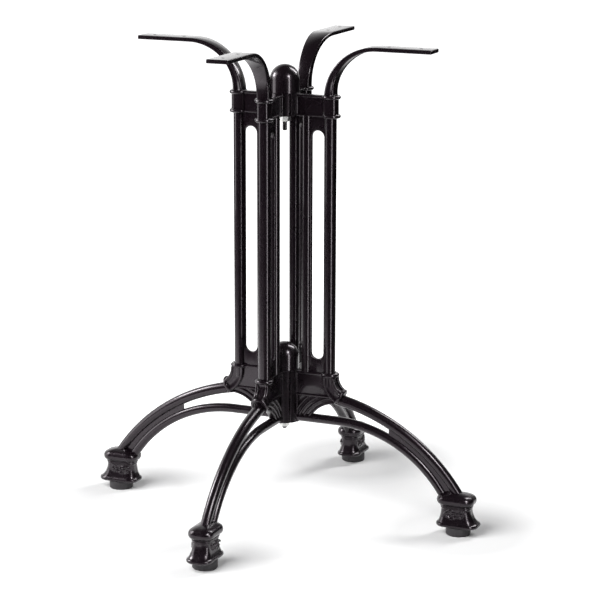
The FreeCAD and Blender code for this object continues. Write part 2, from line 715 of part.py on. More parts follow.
def add_fan(body):
    """The shoulder's panel and, under its ledge, the fan of arched ribs over the open window."""
    add_panel(body, "shoulder_panel", V["panel_bottom"], V["shoulder_ring"] + 1.4, V["column_radius"])
    add_hub(body, "lower_hub", V["lower_hub_bottom"], V["lower_hub_top"])

    inner = V["hub_radius"] - 3.0
    arch_z = V["lower_rib_level"] - V["arch_drop"]
    arch_x = V["arch_place"]
    foot_x = arch_x - leg_of_triangle(V["arch_radius"], V["arch_drop"])
    sketch = new_sketch(body, "fan_wall_outline", "XZ_Plane")
    add_outline(sketch, (
        (inner, V["lower_rib_level"]),
        (foot_x, V["lower_rib_level"], V["arch_radius"], -1),
        (arch_x, arch_z + V["arch_radius"]),
        (arch_x, V["panel_bottom"] + 4.0),
        (inner, V["panel_bottom"] + 4.0),
    ))
    pad(body, sketch, "fan_wall", V["fan_web"], both_ways=True)
    add_ledge(body, "fan_ledge", V["panel_bottom"], arch_x)
    add_ledge(body, "shoulder_ledge", V["shoulder_ring"], V["column_radius"])

    crest = V["fan_web"] * 0.5 + V["fan_rib_stand"]
    foot = V["fan_web"] * 0.5
    wide = V["fan_rib_half"] + 0.2
    narrow = V["fan_rib_half"] * 0.6
    for index in range(4):
        radius = V["arch_radius"] + V["fan_rib_half"] + V["fan_pitch"] * index
        end = size_of(FAN_ENDS[index]) if index < len(FAN_ENDS) else fan_end_angle(radius)
        sketch = new_sketch(body, "fan_rib_section_%d" % index, "XY_Plane", (arch_x, 0, arch_z),
                            180.0 + V["fan_start"])
        add_outline(sketch, (
            (radius - narrow, -crest),
            (radius + narrow, -crest),
            (radius + wide, -foot),
            (radius + wide, foot),
            (radius + narrow, crest),
            (radius - narrow, crest),
            (radius - wide, foot),
            (radius - wide, -foot),
        ))
        revolve(body, sketch, "fan_rib_%d" % index, end - V["fan_start"])


def arm_section(body, name, place, slope, half_depth, half_width, flute):
    """One section of the arm, bevelled, with a flute in each side."""
    corner = half_depth * 0.45
    side = half_depth - corner
    floor = side * 0.5
    sketch = new_sketch(body, name, "XY_Plane", (place[0], 0, place[1]), slope)
    add_outline(sketch, (
        (-half_depth, half_width - corner),
        (-half_depth, corner - half_width),
        (-side, -half_width),
        (-floor, flute - half_width),
        (floor, flute - half_width),
        (side, -half_width),
        (half_depth, corner - half_width),
        (half_depth, half_width - corner),
        (side, half_width),
        (floor, half_width - flute),
        (-floor, half_width - flute),
        (-side, half_width),
    ))
    return sketch


def bent_arm_section(body, index, slope):
    """A section of the arm's bend, square to its elliptical middle line."""
    centre_x = V["arm_flat_start"]
    out = centre_x - V["column_radius"]
    up = V["arm_rise"] - V["arm_thickness"] * 0.5
    leaning = out * cosine(slope)
    rising = up * sine(slope)
    reach = root(leaning * leaning + rising * rising)
    place = (centre_x - out * leaning / reach, V["arm_root_level"] + up * rising / reach)
    half_depth = V["arm_root_depth"] * 0.5 + (V["arm_thickness"] - V["arm_root_depth"]) * 0.5 * sine(slope)
    half_width = V["arm_root_width"] * 0.5 + (V["arm_width"] - V["arm_root_width"]) * 0.5 * (1.0 - cosine(slope))
    flute = V["arm_flute"] * cosine(slope) + 0.05
    return arm_section(body, "arm_section_%d" % index, place, slope, half_depth, half_width, flute)


def add_arm(body):
    """The arm: bent and widened from the band to its flat, with two screw holes."""
    sections = [bent_arm_section(body, index, slope) for index, slope in enumerate(ARM_STATIONS)]
    half_depth = V["arm_thickness"] * 0.5
    end = (V["arm_reach"], V["overall_height"] - half_depth)
    sections.append(arm_section(body, "arm_end_section", end, 90.0, half_depth, V["arm_width"] * 0.5, size_of(0.05)))
    loft(body, sections, "arm_form")

    sketch = new_sketch(body, "screw_hole_outline", "XY_Plane", (0, 0, V["overall_height"] + 1.0))
    for place in (V["outer_screw_place"], V["inner_screw_place"]):
        add_circle(sketch, place, 0, V["screw_hole"] * 0.5)
    pocket(body, sketch, "screw_holes", V["arm_thickness"] + 2.0)


def add_stud_bore(body):
    """The bore in the foot that takes the glide's stud."""
    sketch = new_sketch(body, "stud_bore_outline", "XY_Plane", (0, 0, V["glide_height"] - 1.0))
    add_circle(sketch, V["foot_reach"], 0, V["stud_diameter"] * 0.5 + V["fit_gap"])
    depth = V["glide_floor"] + V["stud_length"] - V["glide_height"] + 2.0
    pocket(body, sketch, "stud_bore", depth, reverse=True)


def build_casting():
    body = new_body("leg_right")
    add_foot(body)
    add_leg(body)
    add_shoulder(body)
    add_column(body)
    add_fan(body)
    add_band(body)
    add_beads(body)
    add_arm(body)
    add_stud_bore(body)
    return body


def build_glide(label):
    """The round pad under a foot, with a pocket for the stud's head."""
    body = new_body(label)
    radius = V["glide_diameter"] * 0.5
    bevel = V["glide_round"]
    sections = []
    for index, (level, inset) in enumerate(((ZERO, bevel), (bevel, ZERO), (V["glide_height"], ZERO))):
        sketch = new_sketch(body, "%s_section_%d" % (label, index), "XY_Plane", (V["foot_reach"], 0, level))
        add_polygon(sketch, ZERO, ZERO, radius - inset, ROUND_SIDES)
        sections.append(sketch)
    loft(body, sections, label + "_pad")

    sketch = new_sketch(body, label + "_head_outline", "XY_Plane", (V["foot_reach"], 0, V["glide_floor"]))
    add_polygon(sketch, ZERO, ZERO, (V["stud_head_diameter"] * 0.5 + V["fit_gap"]) * 1.01, ROUND_SIDES)
    pocket(body, sketch, label + "_head_room", V["stud_head_height"], reverse=True)
    sketch = new_sketch(body, label + "_shank_outline", "XY_Plane", (V["foot_reach"], 0, V["glide_floor"] + 1.0))
    add_polygon(sketch, ZERO, ZERO, (V["stud_diameter"] * 0.5 + V["fit_gap"]) * 1.01, ROUND_SIDES)
    pocket(body, sketch, label + "_shank_room", V["glide_height"], reverse=True)
    return body


def build_stud(label):
    """The stud that joins a glide to its foot."""
    body = new_body(label)
    head_top = V["glide_floor"] + V["stud_head_height"]
    tip = V["glide_floor"] + V["stud_length"]
    sketch = new_sketch(body, label + "_section", "XZ_Plane", (V["foot_reach"], 0, 0))
    add_outline(sketch, (
        (ZERO, V["glide_floor"]),
        (V["stud_head_diameter"] * 0.5, V["glide_floor"]),
        (V["stud_head_diameter"] * 0.5, head_top),
        (V["stud_diameter"] * 0.5, head_top),
        (V["stud_diameter"] * 0.5, tip),
        (ZERO, tip),
    ))
    revolve(body, sketch, label + "_turned")
    return body


def build_cap(label, seat):
    """A domed cap: straight skirt, round top, a hollow for the spigots and a bore for the rod."""
    body = new_body(label)
    radius = V["dome_radius"]
    inner = V["spigot_radius"] + V["fit_gap"]
    bore = V["rod_diameter"] * 0.5 + V["fit_gap"]
    bore_end = V["dome_skirt"] + radius - V["rod_end_wall"]
    corners = [(inner, ZERO), (radius, ZERO)]
    for angle in DOME_STATIONS:
        corners.append((radius * cosine(angle), V["dome_skirt"] + radius * sine(angle)))
    corners += [
        (ZERO, V["dome_skirt"] + radius),
        (ZERO, bore_end),
        (bore, bore_end),
        (bore, V["cap_recess"]),
        (inner, V["cap_recess"]),
    ]
    sketch = new_sketch(body, label + "_section", "XZ_Plane", (0, seat, 0))
    add_outline(sketch, corners)
    revolve(body, sketch, label + "_turned")
    return body


def build_rod(label, hub_bottom, seat, tail):
    """A tie rod from the boss of a cap to below the nut."""
    body = new_body(label)
    start = hub_bottom - V["washer_height"] - V["nut_height"] - tail
    end = seat + V["dome_skirt"] + V["dome_radius"] - V["rod_end_wall"] - 0.6
    sketch = new_sketch(body, label + "_section", "XZ_Plane")
    radius = V["rod_diameter"] * 0.5
    add_outline(sketch, (
        (ZERO, start),
        (radius, start),
        (radius, end),
        (ZERO, end),
    ))
    revolve(body, sketch, label + "_turned")
    return body


def build_washer(label, hub_bottom):
    body = new_body(label)
    sketch = new_sketch(body, label + "_outline", "XY_Plane", (0, 0, hub_bottom - V["washer_height"]))
    add_circle(sketch, 0, 0, V["washer_diameter"] * 0.5)
    add_circle(sketch, 0, 0, V["rod_diameter"] * 0.5 + V["fit_gap"])
    pad(body, sketch, label + "_disc", V["washer_height"])
    return body


def build_nut(label, hub_bottom):
    """A hexagonal nut under the washer."""
    body = new_body(label)
    level = hub_bottom - V["washer_height"] - V["nut_height"]
    sketch = new_sketch(body, label + "_outline", "XY_Plane", (0, 0, level))
    corner = V["nut_across"] / math.sqrt(3.0)
    corners = []
    for index in range(6):
        corners.append((corner * cosine(60.0 * index), corner * sine(60.0 * index)))
    add_outline(sketch, corners)
    add_circle(sketch, 0, 0, V["rod_diameter"] * 0.5 + V["fit_gap"])
    pad(body, sketch, label + "_hexagon", V["nut_height"])
    return body


def set_copy(source, label, direction=0.0, rise=0.0):
    """Another piece of the same shape, turned about the centre of the base or moved up or down."""
    part = doc.addObject("Part::Feature", label)
    part.Label = label
    part.Shape = source.Shape.copy()
    part.Placement = FreeCAD.Placement(
        FreeCAD.Vector(0, 0, rise), FreeCAD.Rotation(FreeCAD.Vector(0, 0, 1), direction))
    return part


SIDES = (("back", 90.0), ("left", 180.0), ("front", 270.0))


def build_all():
    casting = build_casting()
    glide = build_glide("right_glide")
    stud = build_stud("right_glide_stud")
    cap = build_cap("upper_cap", V["upper_hub_top"])
    pieces = [casting, glide, stud, cap]
    for name, bottom, seat, tail in (
            ("upper", V["upper_hub_bottom"], V["upper_hub_top"], V["upper_rod_tail"]),
            ("lower", V["lower_hub_bottom"], V["lower_hub_top"], V["lower_rod_tail"])):
        pieces.append(build_rod(name + "_tie_rod", bottom, seat, tail))
        pieces.append(build_washer(name + "_washer", bottom))
        pieces.append(build_nut(name + "_nut", bottom))
    doc.recompute()
    pieces.append(set_copy(cap, "lower_cap", rise=(V["lower_hub_top"] - V["upper_hub_top"]).value))
    for side, direction in SIDES:
        pieces.append(set_copy(casting, "leg_" + side, direction))
        pieces.append(set_copy(glide, side + "_glide", direction))
        pieces.append(set_copy(stud, side + "_glide_stud", direction))
    doc.recompute()
    return pieces


def check_document(pieces):
    """Stops the script if a feature failed or a piece isn't one valid solid."""
    for item in doc.Objects:
        if "Invalid" in item.State or "Error" in item.State:
            raise RuntimeError("failed: %s (%s)" % (item.Name, item.Label))
    for piece in pieces:
        shape = piece.Shape
        if shape.isNull() or not shape.isValid():
            raise RuntimeError("bad shape: " + piece.Label)
        if len(shape.Solids) != 1:
            raise RuntimeError("%s has %d solids" % (piece.Label, len(shape.Solids)))


def write_pieces(pieces):
    os.makedirs("parts", exist_ok=True)
    for piece in pieces:
        piece.Shape.exportStep("parts/%s.step" % piece.Label)


PIECES = build_all()
check_document(PIECES)
write_pieces(PIECES)
print("wrote %d pieces" % len(PIECES))
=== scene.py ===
"""Four star table base: cast legs in gloss black enamel, domed caps, tie rods and glides.

Sizes are in millimetres and the right leg points along +X. Each mesh is scaled to metres at the end.
"""
import math

import bmesh
import bpy
from mathutils import Matrix, Vector


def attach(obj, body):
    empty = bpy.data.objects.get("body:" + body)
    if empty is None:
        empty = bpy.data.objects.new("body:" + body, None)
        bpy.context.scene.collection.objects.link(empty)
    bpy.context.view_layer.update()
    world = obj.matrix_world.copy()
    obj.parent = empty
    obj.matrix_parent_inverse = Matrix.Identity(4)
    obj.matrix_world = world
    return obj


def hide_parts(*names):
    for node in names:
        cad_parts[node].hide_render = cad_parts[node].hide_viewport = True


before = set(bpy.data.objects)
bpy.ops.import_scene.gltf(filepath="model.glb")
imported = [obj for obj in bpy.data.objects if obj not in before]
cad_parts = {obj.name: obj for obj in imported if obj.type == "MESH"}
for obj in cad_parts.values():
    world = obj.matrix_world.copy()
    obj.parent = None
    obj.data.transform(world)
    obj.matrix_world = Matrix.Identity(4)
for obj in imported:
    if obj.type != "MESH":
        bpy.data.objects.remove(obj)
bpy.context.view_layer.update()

MILLIMETRE = 0.001
DIRECTIONS = (("right", 0.0), ("back", 90.0), ("left", 180.0), ("front", 270.0))

# Camera, at the photograph's viewing angle
CAMERA_PLACE = (1.3299, -3.0354, 1.110)
CAMERA_HEADING = 23.26
CAMERA_TILT = 13.23
CAMERA_ROLL = 0.13
CAMERA_LENS = 135.72

# Foot
FOOT_PLACE = 282.4
FOOT_FACE = 13.6
FLOWERS = ((277.0, 34.6, 5.4), (288.6, 32.8, 5.2))
STEMS = (
    ((293.5, 30.0), (295.2, 35.0), (293.4, 38.9)),
    ((283.0, 30.0), (279.0, 26.2), (274.0, 26.4), (269.6, 30.6)),
    ((276.0, 39.6), (271.0, 38.6), (266.4, 35.4)),
)
FAR_SIDE_SHIFT = -4.5

# The leg's two round ribs, as arcs in the leg's plane
UPPER_RIB_CENTRE = (35.65, -107.8)
UPPER_RIB_BEND = 298.1
LOWER_RIB_CENTRE = (85.4, -53.0)
LOWER_RIB_BEND = 205.0
LOWER_RIB_RADIUS = 6.9
RIB_STEPS = 44
RIB_WALL_STEPS = 24

# Shoulder: sweep round the elbow, beads, panel and fan
ELBOW = (107.0, 218.0)
SWEEP_REACH = 33.1
RIDGE_REACH = 23.8
RIDGE_SIDE = 7.9
ELBOW_STEPS = 14
LEG_BEAD = (92.2, 189.5, 121.0)
RING_PLACE = 74.4
BEAD_RADIUS = 3.05
SHOULDER_RING = 223.0
PANEL_LEDGE = 189.0
PANEL_START = 20.0
PANEL_END = 76.0
ARCH = (88.0, 126.7)
ARCH_RADIUS = 52.0
FAN_ENDS = (98.0, 90.0, 65.4, 55.4)
FAN_START = 26.0
FAN_STEPS = 24
FAN_FIRST = 2.1
FAN_SPACING = 7.2

# Column and band
COLUMN_PLACE = 73.5
INNER_TUBE_PLACE = 36.0
INNER_TUBE_RADIUS = 7.5
SLOT_MIDDLE = (54.25, 418.75)
SLOT_HALF_WIDTH = 10.0
SLOT_HALF_HEIGHT = 173.25
BAND_BOTTOM_RING = 614.5
BAND_TOP_RING = 642.5

# Hubs, from bottom to top, and the steel under them
LOWER_HUB = (144.5, 225.0)
UPPER_HUB = (612.5, 645.5)
HUB_RADIUS = 23.0
SEAM_BEVEL = 2.3
FILLET = 2.3
FILLET_PLACE = (24.2, 7.45)
DOME_RADIUS = 22.0
DOME_SKIRT = 20.0
WASHER_HEIGHT = 2.0
NUT_HEIGHT = 8.0
NUT_WIDTH = 13.0
THREAD_PITCH = 1.25
THREAD_STEPS = 28

# Arm
ARM_BEND_CENTRE = (150.0, 645.0)
ARM_BEND_REACH = 76.5
ARM_BEND_RISE = 72.0
ARM_STEPS = 24
ARM_LEVEL = 717.0
SCREW_PLACES = (213.0, 164.0)
SCREW_RADIUS = 2.8


def add_camera():
    camera = bpy.data.objects.new("camera", bpy.data.cameras.new("camera"))
    bpy.context.scene.collection.objects.link(camera)
    camera.data.sensor_width = 36.0
    camera.data.lens = CAMERA_LENS
    camera.data.clip_end = 60.0
    camera.matrix_world = (
        Matrix.Translation(CAMERA_PLACE)
        @ Matrix.Rotation(math.radians(CAMERA_HEADING), 4, "Z")
        @ Matrix.Rotation(math.radians(90.0 - CAMERA_TILT), 4, "X")
        @ Matrix.Rotation(math.radians(CAMERA_ROLL), 4, "Z"))
    bpy.context.scene.camera = camera


# Shader maths
class Value:
    """An output of a node, with arithmetic that adds Math nodes."""

    def __init__(self, graph, socket):
        self.graph = graph
        self.socket = socket

    def math(self, operation, first, second=0.0, clamp=False):
        settings = {"operation": operation, "use_clamp": clamp}
        return self.graph.node("ShaderNodeMath", settings, {0: first, 1: second})

    def __add__(self, other):
        return self.math("ADD", self, other)

    def __radd__(self, other):
        return self.math("ADD", other, self)

    def __sub__(self, other):
        return self.math("SUBTRACT", self, other)

    def __rsub__(self, other):
        return self.math("SUBTRACT", other, self)

    def __mul__(self, other):
        return self.math("MULTIPLY", self, other)

    def __rmul__(self, other):
        return self.math("MULTIPLY", other, self)

    def __truediv__(self, other):
        return self.math("DIVIDE", self, other)

    def __rtruediv__(self, other):
        return self.math("DIVIDE", other, self)

    def clamped(self):
        return self.math("ADD", self, clamp=True)

    def root(self):
        return self.math("SQRT", self)


class Graph:
    """A node tree that is filled one node at a time."""

    def __init__(self, tree):
        self.tree = tree
        tree.nodes.clear()

    def node(self, kind, settings=None, values=None, output=0):
        node = self.tree.nodes.new(kind)
        for name, value in (settings or {}).items():
            if name == "stops":
                ramp = node.color_ramp
                while len(ramp.elements) < len(value):
                    ramp.elements.new(0.5)
                for element, (place, shade) in zip(ramp.elements, value):
                    element.position = place
                    element.color = (shade, shade, shade, 1.0)
            else:
                setattr(node, name, value)
        for name, value in (values or {}).items():
            if isinstance(value, Value):
                self.tree.links.new(value.socket, node.inputs[name])
            else:
                node.inputs[name].default_value = value
        return Value(self, node.outputs[output]) if node.outputs else None

    def noise(self, place, scale, detail=2.0, roughness=0.5):
        return self.node("ShaderNodeTexNoise", {}, {
            "Vector": place, "Scale": scale, "Detail": detail, "Roughness": roughness})

    def ramp(self, value, stops):
        return self.node("ShaderNodeValToRGB", {"stops": stops}, {0: value})

    def shade(self, factor, first, second):
        values = {0: factor, 6: first, 7: second}
        return self.node("ShaderNodeMix", {"data_type": "RGBA"}, values, output=2)

    def bump(self, height, strength, distance, normal=None):
        values = {"Height": height, "Strength": strength, "Distance": distance}
        if normal is not None:
            values["Normal"] = normal
        return self.node("ShaderNodeBump", {}, values)

    def split(self, vector):
        """The three parts of a vector."""
        node = self.node("ShaderNodeSeparateXYZ", {}, {0: vector}).socket.node
        return [Value(self, output) for output in node.outputs]


def new_finish(name):
    material = bpy.data.materials.new(name)
    material.use_nodes = True
    graph = Graph(material.node_tree)
    place = graph.node("ShaderNodeTexCoord", output=3)
    return material, graph, place


def close_finish(graph, values):
    shader = graph.node("ShaderNodeBsdfPrincipled", {}, values)
    graph.node("ShaderNodeOutputMaterial", {}, {"Surface": shader})


def black_enamel():
    """Gloss black enamel over cast iron: faint orange peel, the casting's unevenness, a little dust."""
    dark = (0.0030, 0.0016, 0.0026, 1.0)
    light = (0.0056, 0.0034, 0.0050, 1.0)
    dusty = (0.022, 0.019, 0.021, 1.0)
    material, graph, place = new_finish("black_enamel")
    cloud = graph.noise(place, 26.0, 3.0)
    speck = graph.noise(place, 420.0, 2.0, 0.6)
    peel = graph.noise(place, 520.0, 1.0)
    casting = graph.noise(place, 95.0, 2.0)
    dust = graph.ramp(speck, ((0.0, 0.0), (0.66, 0.0), (0.78, 1.0)))
    colour = graph.shade(cloud, dark, light)
    colour = graph.shade(dust * 0.25, colour, dusty)
    roughness = 0.22 + cloud * 0.10 + dust * 0.08
    normal = graph.bump(casting, 0.06, 0.0006)
    normal = graph.bump(peel, 0.035, 0.0002, normal)
    close_finish(graph, {
        "Base Color": colour, "Roughness": roughness, "Specular IOR Level": 0.34,
        "Specular Tint": (1.0, 0.84, 0.96, 1.0), "Coat Weight": 0.46 + cloud * 0.12,
        "Coat Roughness": 0.045, "Coat IOR": 1.45, "Normal": normal})
    return material


def black_plastic():
    """Dull black moulded plastic with a fine grain and a scuffed lower edge."""
    dark = (0.020, 0.018, 0.020, 1.0)
    light = (0.032, 0.029, 0.032, 1.0)
    scuffed = (0.060, 0.057, 0.058, 1.0)
    material, graph, place = new_finish("black_plastic")
    cloud = graph.noise(place, 60.0, 3.0)
    grain = graph.noise(place, 900.0, 2.0, 0.6)
    height = graph.split(place)[2]
    scuff = graph.ramp(height * 160.0, ((0.0, 1.0), (0.25, 0.35), (0.6, 0.0)))
    colour = graph.shade(cloud, dark, light)
    colour = graph.shade(scuff * cloud, colour, scuffed)
    roughness = 0.46 + grain * 0.14 + scuff * 0.1
    normal = graph.bump(grain, 0.22, 0.0002)
    close_finish(graph, {
        "Base Color": colour, "Roughness": roughness, "Specular IOR Level": 0.4, "Normal": normal})
    return material


def steel(name, dark, light, low, high, turning):
    """Turned steel between two colours and two values of roughness, with fine lines and dull spots."""
    dull = (0.09, 0.085, 0.08, 1.0)
    material, graph, place = new_finish(name)
    cloud = graph.noise(place, 160.0, 3.0)
    height = graph.split(place)[2]
    values = {"W": height, "Scale": turning}
    lines = graph.node("ShaderNodeTexNoise", {"noise_dimensions": "1D"}, values)
    spot = graph.ramp(graph.noise(place, 380.0, 2.0, 0.7), ((0.0, 0.0), (0.62, 0.0), (0.72, 1.0)))
    colour = graph.shade(cloud, dark, light)
    colour = graph.shade(spot * 0.5, colour, dull)
    roughness = low + (high - low) * cloud + spot * 0.15
    normal = graph.bump(lines, 0.16, 0.0001)
    close_finish(graph, {
        "Base Color": colour, "Roughness": roughness, "Metallic": 1.0, "Normal": normal})
    return material


# Meshes, all in millimetres until a piece is finished
def stand(x, z, lean=0.0, y=0.0):
    """Where an outline stands in the leg's plane; lean is its path's angle from straight up."""
    return Matrix.Translation((x, y, z)) @ Matrix.Rotation(math.radians(lean), 4, "Y")


def add_outline(mesh, place, half_x, half_y, corner, dent=0.0, steps=8, cuts=0):
    """A closed outline with round corners; its two sides across the leg may be dented."""
    corner = min(corner, half_x, half_y)
    first = len(mesh.verts)
    outline = bmesh.ops.create_circle(
        mesh, cap_ends=False, radius=corner, segments=steps * 4,
        matrix=Matrix.Rotation(math.pi / (steps * 4), 4, "Z"))["verts"]
    for side_x in (-1, 1):
        for side_y in (-1, 1):
            quarter = [v for v in outline if v.co.x * side_x > 0 and v.co.y * side_y > 0]
            bmesh.ops.translate(mesh, verts=quarter, vec=(
                side_x * (half_x - corner), side_y * (half_y - corner), 0.0))
    if cuts:
        edges = {edge for vert in outline for edge in vert.link_edges}
        long_edges = [e for e in edges if abs(e.verts[0].co.y) > half_y - corner * 0.1
                      and e.verts[0].co.x * e.verts[1].co.x < 0]
        bmesh.ops.bisect_edges(mesh, edges=long_edges, cuts=cuts)
        mesh.verts.ensure_lookup_table()
        for vert in mesh.verts[first + steps * 4:]:
            depth = dent * (1.0 - (vert.co.x / (half_x - corner)) ** 2)
            vec = (0.0, -math.copysign(depth, vert.co.y), 0.0)
            bmesh.ops.translate(mesh, verts=[vert], vec=vec)
    mesh.verts.ensure_lookup_table()
    bmesh.ops.transform(mesh, matrix=place, verts=mesh.verts[first:])


def lofted(stations, steps=8, cuts=0):
    """A closed form through stations of (place, half_x, half_y, corner) and, where needed, dent."""
    mesh = bmesh.new()
    for place, half_x, half_y, corner, *dent in stations:
        add_outline(mesh, place, half_x, half_y, corner, dent[0] if dent else 0.0, steps, cuts)
    mesh.edges.ensure_lookup_table()
    size = len(mesh.edges) // len(stations)
    loops = [mesh.edges[index * size:(index + 1) * size] for index in range(len(stations))]
    for first, second in zip(loops, loops[1:]):
        bmesh.ops.bridge_loops(mesh, edges=first + second)
    bmesh.ops.holes_fill(mesh, edges=loops[0] + loops[-1], sides=0)
    bmesh.ops.recalc_face_normals(mesh, faces=mesh.faces)
    return mesh


def block(x0, x1, y0, y1, z0, z1):
    mesh = bmesh.new()
    bmesh.ops.create_cube(mesh, size=1.0)
    bmesh.ops.scale(mesh, vec=(x1 - x0, y1 - y0, z1 - z0), verts=mesh.verts)
    middle = ((x0 + x1) / 2, (y0 + y1) / 2, (z0 + z1) / 2)
    bmesh.ops.translate(mesh, vec=middle, verts=mesh.verts)
    return mesh


def drum(place, radius, low, high, segments=64):
    """A plain cylinder along the place's own third axis."""
    mesh = bmesh.new()
    bmesh.ops.create_cone(
        mesh, cap_ends=True, segments=segments, radius1=radius, radius2=radius, depth=high - low,
        matrix=place @ Matrix.Translation((0, 0, (low + high) / 2)))
    return mesh


def spin_round(mesh, geometry, steps):
    """Turns an outline once round the third axis and closes the form."""
    bmesh.ops.spin(mesh, geom=geometry, cent=(0, 0, 0), axis=(0, 0, 1), angle=math.tau,
                   steps=steps, use_merge=True)
    bmesh.ops.remove_doubles(mesh, verts=mesh.verts, dist=0.001)
    bmesh.ops.recalc_face_normals(mesh, faces=mesh.faces)


def ring(place, reach, bead):
    """A round bead turned about the place's own third axis."""
    mesh = bmesh.new()
    upright = Matrix.Translation((reach, 0, 0)) @ Matrix.Rotation(math.pi / 2, 4, "X")
    verts = bmesh.ops.create_circle(
        mesh, cap_ends=False, radius=bead, segments=16, matrix=upright)["verts"]
    edges = list({edge for vert in verts for edge in vert.link_edges})
    spin_round(mesh, verts + edges, 72)
    bmesh.ops.transform(mesh, matrix=place, verts=mesh.verts)
    return mesh


def turned(profile, steps=64):
    """A closed form turned about the centre line from (distance, height) points."""
    mesh = bmesh.new()
    verts = [bmesh.ops.create_vert(mesh, co=(distance, 0.0, height))["vert"][0]
             for distance, height in profile]
    edges = [mesh.edges.new(pair) for pair in zip(verts, verts[1:])]
    spin_round(mesh, verts + edges, steps)
    return mesh


def lump(place, size):
    """A small rounded swelling."""
    mesh = bmesh.new()
    bmesh.ops.create_icosphere(mesh, subdivisions=3, radius=1.0)
    bmesh.ops.scale(mesh, vec=size, verts=mesh.verts)
    bmesh.ops.transform(mesh, matrix=place, verts=mesh.verts)
    return mesh


def as_mesh(meshes, name="part"):
    """Puts bmeshes and meshes together in one mesh."""
    whole = bmesh.new()
    for item in meshes:
        if isinstance(item, bmesh.types.BMesh):
            data = bpy.data.meshes.new("part")
            item.to_mesh(data)
            item.free()
        else:
            data = item
        whole.from_mesh(data)
        bpy.data.meshes.remove(data)
    data = bpy.data.meshes.new(name)
    whole.to_mesh(data)
    whole.free()
    return data


def with_modifiers(data, *modifiers):
    """Applies modifiers, each given as (kind, settings), and returns the new mesh."""
    thing = bpy.data.objects.new("workpiece", data)
    bpy.context.scene.collection.objects.link(thing)
    for kind, settings in modifiers:
        modifier = thing.modifiers.new(kind.lower(), kind)
        for name, value in settings.items():
            setattr(modifier, name, value)
    graph = bpy.context.evaluated_depsgraph_get()
    result = bpy.data.meshes.new_from_object(thing.evaluated_get(graph))
    bpy.data.objects.remove(thing)
    return result


def joined(data, form, operation):
    """A mesh with one form taken away from it, or kept only where the form is."""
    tool = bpy.data.objects.new("cutter", as_mesh([form]))
    bpy.context.scene.collection.objects.link(tool)
    settings = {"object": tool, "operation": operation, "solver": "EXACT"}
    data = with_modifiers(data, ("BOOLEAN", settings))
    bpy.data.objects.remove(tool)
    return data


def cut(mesh, cutters):
    """Takes one form, or several, away from another."""
    data = as_mesh([mesh])
    for cutter in cutters:
        data = joined(data, cutter, "DIFFERENCE")
    return data


def cast_together(meshes, voxel):
    """Melts overlapping forms into one skin with the soft inner corners of a casting."""
    return with_modifiers(
        as_mesh(meshes),
        ("REMESH", {"mode": "VOXEL", "voxel_size": voxel, "use_smooth_shade": True}),
        ("SMOOTH", {"factor": 0.5, "iterations": 1}))


# The casting, drawn once along +X
def foot_profile():
    """Rim, bell, double moulding and pillow cap: (height, half length, half width, lean)."""
    return (
        (13.2, 29.6, 16.9, 0.0), (13.45, 31.0, 18.2, 0.0), (14.3, 32.0, 19.1, 0.0),
        (15.6, 32.5, 19.6, 0.0), (16.9, 32.5, 19.6, 0.0), (18.2, 32.1, 19.2, 0.0),
        (19.1, 31.2, 18.4, 0.0), (19.6, 30.2, 17.5, 0.1), (20.4, 29.4, 17.2, 0.3),
        (22.0, 28.1, 16.5, 0.8), (24.4, 26.6, 15.6, 1.3), (27.2, 25.3, 14.8, 1.7),
        (30.5, 24.3, 14.2, 2.0), (33.5, 23.6, 13.8, 2.3), (36.8, 23.1, 13.5, 2.5),
        (40.2, 22.7, 13.3, 2.6), (40.8, 23.3, 13.9, 2.6), (41.6, 23.6, 14.2, 2.6),
        (42.4, 23.3, 13.9, 2.6), (42.8, 22.4, 13.0, 2.6), (43.2, 23.2, 13.8, 2.6),
        (44.0, 24.3, 14.9, 2.7), (44.9, 24.3, 14.9, 2.8), (45.6, 23.2, 13.8, 2.9),
        (46.0, 23.4, 14.0, 3.0), (47.0, 25.4, 16.1, 3.1), (48.6, 27.3, 18.1, 3.1),
        (51.0, 28.5, 19.3, 3.1), (53.8, 28.9, 19.7, 3.1), (56.3, 28.4, 19.2, 3.1),
        (58.5, 27.1, 18.0, 3.2), (60.3, 25.0, 16.1, 3.2), (61.7, 22.2, 13.6, 3.2),
        (62.9, 18.6, 10.8, 3.2), (63.9, 14.0, 7.8, 3.2), (64.7, 8.6, 5.0, 3.2),
    )


def flower(side, x, z, size):
    """Five petals round a raised middle, on one flat side of the foot."""
    face = Matrix.Translation((x, side * FOOT_FACE, z))
    parts = [lump(face, (size * 0.34, 3.2, size * 0.34))]
    for index in range(5):
        turn = math.radians(72.0 * index + 12.0)
        reach = size * 0.66
        away = Matrix.Translation((math.cos(turn) * reach, 0.0, math.sin(turn) * reach))
        petal = face @ away @ Matrix.Rotation(-turn, 4, "Y")
        parts.append(lump(petal, (size * 0.36, 2.7, size * 0.24)))
    return parts


def stem(side, points):
    """A thin raised stem through (x, z) points, with a leaf at its end."""
    parts = []
    for (x0, z0), (x1, z1) in zip(points, points[1:]):
        run = Vector((x1 - x0, 0.0, z1 - z0))
        lean = math.degrees(math.atan2(run.x, run.z))
        middle = stand((x0 + x1) / 2, (z0 + z1) / 2, lean, side * (FOOT_FACE - 0.1))
        parts.append(lump(middle, (1.2, 2.2, run.length * 0.62)))
    x, z = points[-1]
    parts.append(lump(stand(x, z, 50.0, side * FOOT_FACE), (1.5, 1.9, 2.8)))
    return parts


